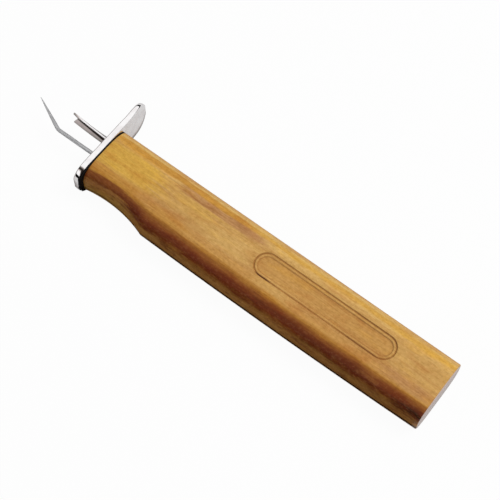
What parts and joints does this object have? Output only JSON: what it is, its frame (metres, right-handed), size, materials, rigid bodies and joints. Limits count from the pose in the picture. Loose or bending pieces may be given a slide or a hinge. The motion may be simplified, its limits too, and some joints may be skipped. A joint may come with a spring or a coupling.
{
  "type": "bead knotting tool",
  "caption": "Hand tool with a scooped wooden handle, a bent awl and a spring-returned thumb plate that lifts a grooved fork past the awl's tip.",
  "frame": {"origin": "middle of the flat strip along the handle's back face, on which the tool lies", "axes": "+Y along the handle towards the awl's tip, +X towards the thumb tongue, +Z out of the front face"},
  "size_m": [0.0329, 0.1485, 0.0134],
  "materials": {
    "handle_wood": "lacquered golden-tan wood with lengthwise grain and red-brown streaks",
    "plate_chrome": "bright polished chrome plate",
    "fork_chrome": "bright polished chrome plate",
    "awl_steel": "ground steel, satin",
    "rod_steel": "turned steel",
    "spring_steel": "drawn spring wire",
    "bush_brass": "turned brass",
    "pad_rubber": "black, dull"
  },
  "bodies": {
    "grip": {"handle": "handle_wood", "guide_bush": "bush_brass", "awl_ferrule": "bush_brass", "awl": "awl_steel", "return_spring": "spring_steel"},
    "slider": {"thumb_plate": "plate_chrome", "stop_pad": "pad_rubber", "knotting_fork": "fork_chrome", "guide_rod": "rod_steel", "spring_washer": "rod_steel", "retaining_clip": "rod_steel"}
  },
  "joints": [
    {"name": "thumb_slide", "type": "slide", "parent": "grip", "child": "slider", "axis": [0, 1, 0], "range_m": [0, 0.0126], "stiffness_N_per_m": 250, "springref_m": -0.004, "deforming": ["return_spring"]}
  ]
}
